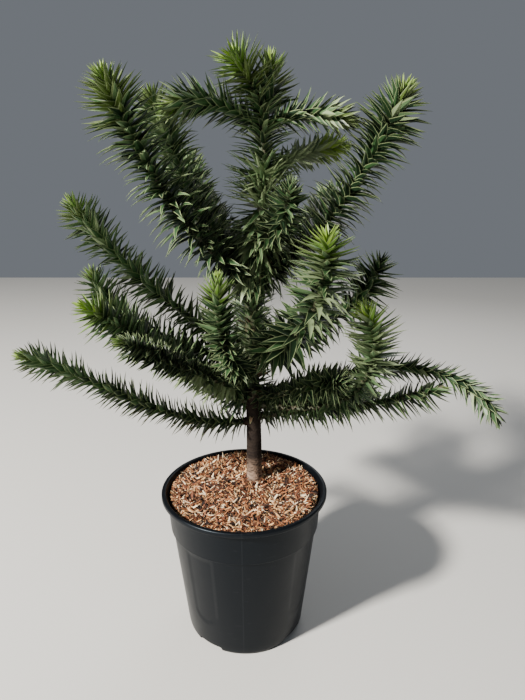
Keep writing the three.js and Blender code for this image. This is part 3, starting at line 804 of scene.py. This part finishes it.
def buildFoliage():
    tree, shapes = makeLeafyTree(), makeLeafShapes()
    heaps = {"lower": Heap(), "upper": Heap()}

    def grow(height, line, row, **counts):
        row = {labelOf(key): value for key, value in row.items()}
        values = {key: row[key] * leafyUnits.get(key, 1.0) for key in row if key in leafyInputs}
        tier = tierOf(height)
        heaps[tier].add(dressLine(tree, line, {"Leaf shapes": shapes, **counts, **values}))

    for number, (name, shoot) in enumerate(shoots.items()):
        start = float(trunkRadius(shoot["height"])) + foliage["startGap"]
        first = max(1, round(start / shoot["length"] * twig["steps"]))
        row = {**twig, **shoot, **habits.get(name, {})}
        row["length"] = shoot["length"] * (1 - first / twig["steps"])
        row["leafWidth"] = foliage["leafWidth"] + foliage["widthGain"] * shoot["leafLength"]
        row["straightness"] = int(shoot["leafLength"] < foliage["straightBelow"])
        spacing = row.get("spacing", foliage["spacing"][tierOf(shoot["height"])])
        grow(shoot["height"], shootPath(shoot)[first:], row, Leaves=round(row["length"] / spacing),
             Seed=20 * number + 3)
    for number, (name, values) in enumerate(stretchRows.items()):
        row = {**usualStretch, **dict(zip(stretchColumns, values))}
        low, high = row["bottom"], row["top"]
        row["length"] = high - low
        row["rootRadius"] = float(trunkRadius(low)) + foliage["trunkSkin"]
        row["tipRadius"] = float(trunkRadius(high)) + foliage["trunkSkin"]
        row.update(habits.get(name, {}))
        grow(low, trunkCentre(np.linspace(low, high, 30)), row, Leaves=row["count"],
             Seed=900 + 20 * number)
    masses = [name for name in nodes if name.startswith("foliage_")]
    for tier, heap in heaps.items():
        for number in sorted(heap.kinds):
            what = "shoot_stems" if number == stemKind else f"leaves_{toneOrder[number]}"
            piece = heap.piece(f"{what}_{tier}", number, smooth=True)
            piece.data.set_sharp_from_angle(angle=math.radians(foliage["crease"]))
            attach(piece, "root")
            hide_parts(*masses)
    clearShelf(shapes)


buildFoliage()
print("foliage grown")


# Bark: rings of old leaf scars round the trunk and the bare roots of the shoots
bark = {"sides": 72, "ringHeight": 1.2, "scarPitch": 3.7, "scarDepth": 0.8, "scarWidth": 0.17,
        "lobes": 3, "lobeDepth": 0.10, "lobeHeight": 11, "boughRadius": 5.0, "boughSides": 20,
        "boughSteps": 12, "boughReach": 6, "boughRelief": 0.5, "collar": 2.4, "collarReach": 6}


# Height of the bark's relief at an angle round the limb and a distance along it: rings that wander,
# broken up on their way round, and a fine roughness over all.
def scarRelief(angle, distance):
    drift = 0.30 * np.sin(2 * angle + distance / 23) + 0.22 * np.sin(5 * angle - distance / 9)
    row = distance / bark["scarPitch"] + drift
    number = np.floor(row)
    groove = np.exp(-(((row - number) - 0.5) / bark["scarWidth"]) ** 2)
    broken = 0.55 + 0.45 * np.sin(4 * angle + 2.4 * number)
    rough = 0.16 * np.sin(17 * angle + 3.1 * number) + 0.10 * np.sin(31 * angle - distance * 1.9)
    return -bark["scarDepth"] * groove * broken + rough


def buildBark():
    sides = bark["sides"]
    heights = np.arange(trunk["bottom"], trunk["top"], bark["ringHeight"])[:, None]
    angles = ringAngles(sides)
    centres = trunkCentre(heights[:, 0])
    fade = np.exp((trunk["bottom"] - heights) / bark["lobeHeight"])
    lobes = 1 + bark["lobeDepth"] * np.cos(bark["lobes"] * angles + 0.8) * fade
    radii = trunkRadius(heights) * lobes + scarRelief(angles, heights)
    x = centres[:, 0, None] + radii * np.cos(angles)
    y = centres[:, 1, None] + radii * np.sin(angles)
    points = np.stack([x, y, np.repeat(heights, sides, axis=1)], axis=-1).reshape(-1, 3)
    faces = ringFaces(len(heights), sides)
    for shoot in shoots.values():
        extra, extraFaces = boughMesh(shoot)
        faces += [tuple(i + len(points) for i in face) for face in extraFaces]
        points = np.concatenate([points, extra])
    piece = makePiece("bark", points, faces, [barkMaterial])
    announce(piece)
    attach(piece, "root")
    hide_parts("trunk", *[name for name in nodes if name.startswith("bough_")])


# A shoot's bare root, swollen where it leaves the trunk.
def boughMesh(shoot):
    sides, steps = bark["boughSides"], bark["boughSteps"]
    path = shootPath(shoot)
    trunkWall = float(trunkRadius(shoot["height"]))
    shares = np.linspace(0, (trunkWall + bark["boughReach"]) / shoot["length"], steps)
    spots = shares * (len(path) - 1)
    numbers = np.arange(len(path))
    centres = np.stack([np.interp(spots, numbers, values) for values in path.T], axis=-1)
    angles = ringAngles(sides)
    rows = []
    for centre, share in zip(centres, shares):
        along = shootDirection(shoot, share)
        side = np.cross([0, 0, 1.0], along)
        side /= np.linalg.norm(side)
        across = np.cross(along, side)
        distance = share * shoot["length"]
        collar = bark["collar"] * math.exp(-max(0, distance - trunkWall) / bark["collarReach"])
        relief = bark["boughRelief"] * scarRelief(angles, distance + shoot["height"])
        radius = bark["boughRadius"] + collar + relief
        ring = np.cos(angles)[:, None] * side + np.sin(angles)[:, None] * across
        rows.append(centre + radius[:, None] * ring)
    return np.concatenate(rows), ringFaces(steps, sides)


buildBark()
print("bark made")


# Bark mulch: a low mound, with chips strewn over it
mulch = {"edgeHeight": 241, "dome": 3, "slope": 0.03, "ripple": 1.6, "rippleX": 9, "rippleY": 11,
         "radius": 121.2, "bottom": 224, "rings": 40, "segments": 120, "chips": 11500, "seed": 5}
chip = {"length": 14.5, "outline": ((-0.5, 0.4), (0.05, 1.0), (0.5, 0.3)), "sizes": (0.5, 1.4),
        "sizePower": 1.8, "widths": (0.7, 1.3), "roomShare": 1.7, "roomLeast": 0.0015, "upwards": 0.5}
chipShapes = {
    "sliver": {"width": 0.11, "thick": 0.07, "bend": 0.05},
    "chunk": {"width": 0.18, "thick": 0.10, "bend": 0.02},
    "fibre": {"width": 0.06, "thick": 0.05, "bend": 0.12},
}


def mulchTop(x, y):
    edge = mulch["radius"]
    dome = mulch["dome"] * (1 - (x * x + y * y) / (edge * edge))
    ripple = mulch["ripple"] * np.sin(x / mulch["rippleX"]) * np.cos(y / mulch["rippleY"])
    return mulch["edgeHeight"] + dome + ripple + mulch["slope"] * y


def buildMound():
    rings, segments = mulch["rings"], mulch["segments"]
    angles = ringAngles(segments)
    rows = []
    for ring in range(rings, 0, -1):
        radius = mulch["radius"] * ring / rings
        x, y = radius * np.cos(angles), radius * np.sin(angles)
        rows.append(np.stack([x, y, mulchTop(x, y)], axis=-1))
    skirt = rows[0].copy()
    skirt[:, 2] = mulch["bottom"]
    points = np.concatenate([skirt, *rows, [[0, 0, float(mulchTop(0.0, 0.0))]]])
    return makePiece("mulch_bed", points, domeFaces(rings + 1, segments), [soilMaterial])


def makeChipShapes():
    shapes = {}
    for name, shape in chipShapes.items():
        points = []
        for along, grow in chip["outline"]:
            half, thick = shape["width"] * grow / 2, shape["thick"] * (0.5 + 0.5 * grow) / 2
            bend = shape["bend"] * along * along * 4
            points += [(along, half, bend + thick * 0.6), (along, -half * 0.8, bend + thick),
                       (along, -half, bend - thick), (along, half * 0.9, bend - thick * 0.7)]
        shapes[f"chip {name}"] = points, ringFaces(len(chip["outline"]), 4), None
    return makeShelf("chip shapes", shapes)


chipInputs = {
    "Geometry": "Geometry",
    "Chip shapes": "Collection",
    "Density": 60000.0,
    "Chip length": 13 * mm,
    "Wall radius": 121 * mm,
    "Tilt": math.radians(40),
    "Lift": 4.5 * mm,
    "Seed": 1,
}


def makeChipTree():
    tree, given, out = newTree("strewn chips", "GeometryNodeTree", chipInputs, "Geometry", "Geometry")
    seed, tilt = given["Seed"], given["Tilt"]
    up = partOf(flowFrom(tree, "GeometryNodeInputNormal"), "Z")
    strewn = flowFrom(tree, "GeometryNodeDistributePointsOnFaces", {
        "Mesh": given["Geometry"], "Selection": up > chip["upwards"], "Density": given["Density"],
        "Seed": seed})

    # shorter near the wall, so that none goes through it
    spot = flowFrom(tree, "GeometryNodeInputPosition")
    x, y = partOf(spot, "X"), partOf(spot, "Y")
    room = given["Wall radius"] - (x * x + y * y).calc("SQRT")
    asked = given["Chip length"] * randomOf(seed, 1, *chip["sizes"]).calc("POWER", chip["sizePower"])
    length = asked.calc("MINIMUM", room.calc("MULTIPLY_ADD", chip["roomShare"], chip["roomLeast"]))
    width = length * randomOf(seed, 2, *chip["widths"])
    size = flowFrom(tree, "ShaderNodeCombineXYZ", (length, width, length))
    tiltX, tiltY = (randomOf(seed, offset, tilt * -1, tilt) for offset in (3, 4))
    angles = flowFrom(tree, "ShaderNodeCombineXYZ", (tiltX, tiltY, randomOf(seed, 5, 0, 2 * math.pi)))
    turn = flowFrom(tree, "FunctionNodeEulerToRotation", (angles,))
    lift = flowFrom(tree, "ShaderNodeCombineXYZ", {"Z": randomOf(seed, 6, 0.0, given["Lift"])})
    lifted = flowFrom(tree, "GeometryNodeSetPosition", {"Geometry": strewn, "Offset": lift})
    dealt = randomOf(seed, 7, 0, 1)
    tone, edge = 0.0, 0.0
    for look in list(chipTones.values())[:-1]:
        edge += look["share"]
        tone = (dealt > edge) + tone
    shape = randomOf(seed, 8, 0, len(chipShapes) - 0.001).calc("FLOOR")
    chips = setOut(withKind(lifted, tone), given["Chip shapes"], shape, turn, size)
    feed(out, paintKinds(chips, list(chipMaterials.values()), soilMaterial))
    return tree


def buildMulch():
    bed = buildMound()
    shapes = makeChipShapes()
    heap = Heap()
    heap.add(runTree(makeChipTree(), bed.data.copy(), {
        "Chip shapes": shapes,
        "Density": mulch["chips"] / (math.pi * (mulch["radius"] * mm) ** 2),
        "Chip length": chip["length"] * mm,
        "Wall radius": mulch["radius"] * mm,
        "Seed": mulch["seed"],
    }))
    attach(bed, "root")
    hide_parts("bark_mulch")
    for number, name in enumerate(chipTones):
        piece = heap.piece(f"chips_{name}", number, smooth=False)
        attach(piece, "root")
        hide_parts("bark_mulch")
    clearShelf(shapes)


buildMulch()
print("mulch strewn")


# The pot: a turned shell with a rolled rim, a stepped collar, four shallow panels and drain notches
pot = {
    "height": 250, "rimRadius": 135, "lipHeight": 7.5, "lipRadius": 127.5, "collarRadius": 126,
    "stepRadius": 122, "stepHeight": 187, "collarBottom": 191, "wallTopRadius": 118.5,
    "footRadius": 98.5, "heelRadius": 92, "heelWidth": 6, "heelHeight": 9, "wall": 2.6, "floorHeight": 10,
    "footWidth": 8, "padRadius": 30, "segments": 240, "rimRound": 3.0, "lipRound": 2.2, "edgeRound": 1.2,
    "crease": 38,
}
notch = {"count": 4, "width": 46, "height": 9, "firstHeading": 55, "depth": 32, "corner": 4}
panel = {"depth": 0.8, "halfAngle": 12, "bottom": 53, "round": 22, "top": 181, "slope": 3}


def arc(radius, height, size, start, end, steps):
    angles = np.radians(np.linspace(start, end, steps))
    return [(radius + size * math.cos(a), height + size * math.sin(a)) for a in angles]


# The section, from the middle of the underside outwards, up the wall, over the rim and down inside.
def potProfile():
    lipBottom = pot["height"] - pot["lipHeight"]
    floorHeight, wall, step = pot["floorHeight"], pot["wall"], pot["stepHeight"]
    floorTop = floorHeight + wall
    pad, rim, edge = pot["padRadius"], pot["rimRadius"], pot["edgeRound"]
    footInside = pot["heelRadius"] - pot["footWidth"]
    heel = [(pot["heelRadius"] + pot["heelWidth"] * math.sin(a), pot["heelHeight"] * (1 - math.cos(a)))
            for a in np.radians(np.linspace(0, 82, 8))]
    outer = [(lerp(pot["footRadius"], pot["wallTopRadius"], s), lerp(floorHeight, step, s))
             for s in np.linspace(0.02, 0.985, 46)]
    collar = [(lerp(pot["stepRadius"], pot["collarRadius"], s), lerp(pot["collarBottom"], lipBottom, s))
              for s in (0.05, 0.3, 0.6, 0.9)]
    return [
        (0, 0),
        *[(pad * s, 0) for s in (0.5, 0.97)],
        *arc(pad - 0.5, 0.5, 0.5, -90, 0, 3),
        (pad + 2, floorHeight),
        (footInside - 20, floorHeight),
        (footInside - 0.4, floorHeight),
        (footInside, floorHeight - 0.5),
        (footInside, 0.5),
        (footInside + 0.5, 0),
        *heel,
        *outer,
        *arc(pot["wallTopRadius"] + edge, step - 0.2, edge, 190, 90, 4),
        *arc(pot["stepRadius"] - 1.4, step + 2.2, edge, -80, 10, 5),
        *collar,
        *arc(pot["collarRadius"] + edge, lipBottom - 0.9, 1.0, 180, 90, 4),
        (rim - 3, lipBottom),
        *arc(rim - edge, lipBottom + edge, edge, -90, 0, 4),
        *arc(rim - pot["rimRound"], pot["height"] - pot["rimRound"], pot["rimRound"], 0, 90, 7),
        (rim - 5.5, pot["height"] - 0.15),
        *arc(pot["lipRadius"] + pot["lipRound"], pot["height"] - 2.6, pot["lipRound"], 80, 180, 6),
        (pot["collarRadius"] - wall, lipBottom - 3),
        (pot["stepRadius"] - wall, step + 3),
        (pot["wallTopRadius"] - wall, step),
        (pot["footRadius"] + 0.3 - wall, floorTop),
        (60, floorTop),
        (0, floorTop),
    ]


# How far a point on the outer wall is pressed in by the panel above each drain notch.
def panelPress(height, headings):
    offset = (headings - notch["firstHeading"] + 45) % 90 - 45
    across = np.abs(offset) / panel["halfAngle"]
    low = panel["bottom"] + panel["round"] * (1 - np.sqrt(np.clip(1 - across ** 2, 0, 1)))
    inside = (1 - smoothstep(across, 0.90, 1.0)) * smoothstep(height, low, low + panel["slope"])
    return panel["depth"] * inside * (1 - smoothstep(height, panel["top"], panel["top"] + panel["slope"]))


def buildPot():
    profile = potProfile()
    segments = pot["segments"]
    headings = np.arange(segments) * 360 / segments
    angles = np.radians(headings)
    rows = []
    for radius, height in profile[1:-1]:
        isWall = height < pot["stepHeight"] and radius > pot["footRadius"]
        reach = radius - (panelPress(height, headings) if isWall else np.zeros(segments))
        heights = np.full(segments, height)
        rows.append(np.stack([reach * np.cos(angles), reach * np.sin(angles), heights], axis=-1))
    points = np.concatenate([*rows, [[0, 0, profile[0][1]], [0, 0, profile[-1][1]]]])
    faces = ringFaces(len(rows), segments, closedEnds=False)
    last, under = (len(rows) - 1) * segments, len(points) - 2
    for i in range(segments):
        j = (i + 1) % segments
        faces += [(j, i, under), (last + i, last + j, under + 1)]
    piece = makePiece("pot_shell", points, faces, [potMaterial])
    cutNotches(piece)
    recalculate(piece.data)
    piece.data.set_sharp_from_angle(angle=math.radians(pot["crease"]))
    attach(piece, "root")
    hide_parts("pot")
    announce(piece)


def cutNotches(piece):
    half, corner, top = notch["width"] / 2, notch["corner"], notch["height"] - notch["corner"]
    outline = [(-half, -2), (half, -2), *arc(half - corner, top, corner, 0, 90, 5),
               *arc(corner - half, top, corner, 90, 180, 5)]
    for number in range(notch["count"]):
        heading = math.radians(notch["firstHeading"] + 90 * number)
        ahead = np.array([math.cos(heading), math.sin(heading), 0])
        side = np.array([-math.sin(heading), math.cos(heading), 0])
        points = []
        for reach in (pot["heelRadius"] - notch["depth"] / 2, pot["heelRadius"] + notch["depth"] / 2):
            points += [ahead * reach + side * u + np.array([0, 0, v]) for u, v in outline]
        cutter = makePiece("cutter", points, ringFaces(2, len(outline)), [potMaterial], smooth=False)
        recalculate(cutter.data)
        modifier = piece.modifiers.new("notch", "BOOLEAN")
        modifier.operation = "DIFFERENCE"
        modifier.solver = "EXACT"
        modifier.object = cutter
        made = finishedMesh(piece)
        piece.modifiers.clear()
        piece.data = made
        bpy.data.objects.remove(cutter)
    piece.data.polygons.foreach_set("use_smooth", [True] * len(piece.data.polygons))


buildPot()
nodes["compost"].data.materials.clear()
nodes["compost"].data.materials.append(soilMaterial)
print("pot turned")


# Camera, floor and light
view = {"place": (0.0298, -0.7986, 0.7113), "down": 16.03, "lens": 27.9, "sensor": 36}
lamps = {
    "key": {"place": (-2.80, -2.11, 2.76), "size": 0.40, "power": 640, "colour": (1.0, 0.96, 0.89)},
    "fill": {"place": (2.0, -1.1, 1.2), "size": 1.8, "power": 3, "colour": (0.88, 0.94, 1.0)},
    "back": {"place": (0.7, 1.9, 1.9), "size": 1.4, "power": 18, "colour": (1.0, 1.0, 1.0)},
}
room = {"air": (0.80, 0.87, 0.97), "airStrength": 0.20, "size": 8.0, "aim": (0, 0, 0.45)}
floorLook = {"colour": (0.60, 0.59, 0.565), "roughness": 0.8}


def buildCamera():
    data = bpy.data.cameras.new("camera")
    data.sensor_width = view["sensor"]
    data.lens = view["lens"]
    camera = addObject("camera", data)
    camera.location = view["place"]
    camera.rotation_euler = (math.radians(90 - view["down"]), 0, 0)
    bpy.context.scene.camera = camera


def buildRoom():
    half = room["size"] / 2
    corners = [(-half, -half, 0), (half, -half, 0), (half, half, 0), (-half, half, 0)]
    pale = newMaterial("pale floor", floorLook)[0]
    floor = makePiece("floor", np.array(corners) / mm, [(0, 1, 2, 3)], [pale], smooth=False)
    world = bpy.data.worlds.new("air")
    world.use_nodes = True
    back = world.node_tree.nodes["Background"]
    back.inputs["Color"].default_value = (*room["air"], 1)
    back.inputs["Strength"].default_value = room["airStrength"]
    bpy.context.scene.world = world


def buildLamps():
    for name, lamp in lamps.items():
        data = bpy.data.lights.new(name, "AREA")
        data.size = lamp["size"]
        data.energy = lamp["power"]
        data.color = lamp["colour"]
        light = addObject(name, data)
        light.location = lamp["place"]
        x, y, z = np.array(room["aim"]) - np.array(lamp["place"])
        light.rotation_euler = (math.atan2(math.hypot(x, y), -z), 0, math.atan2(-x, y))


buildCamera()
buildRoom()
buildLamps()
print("camera and light set")
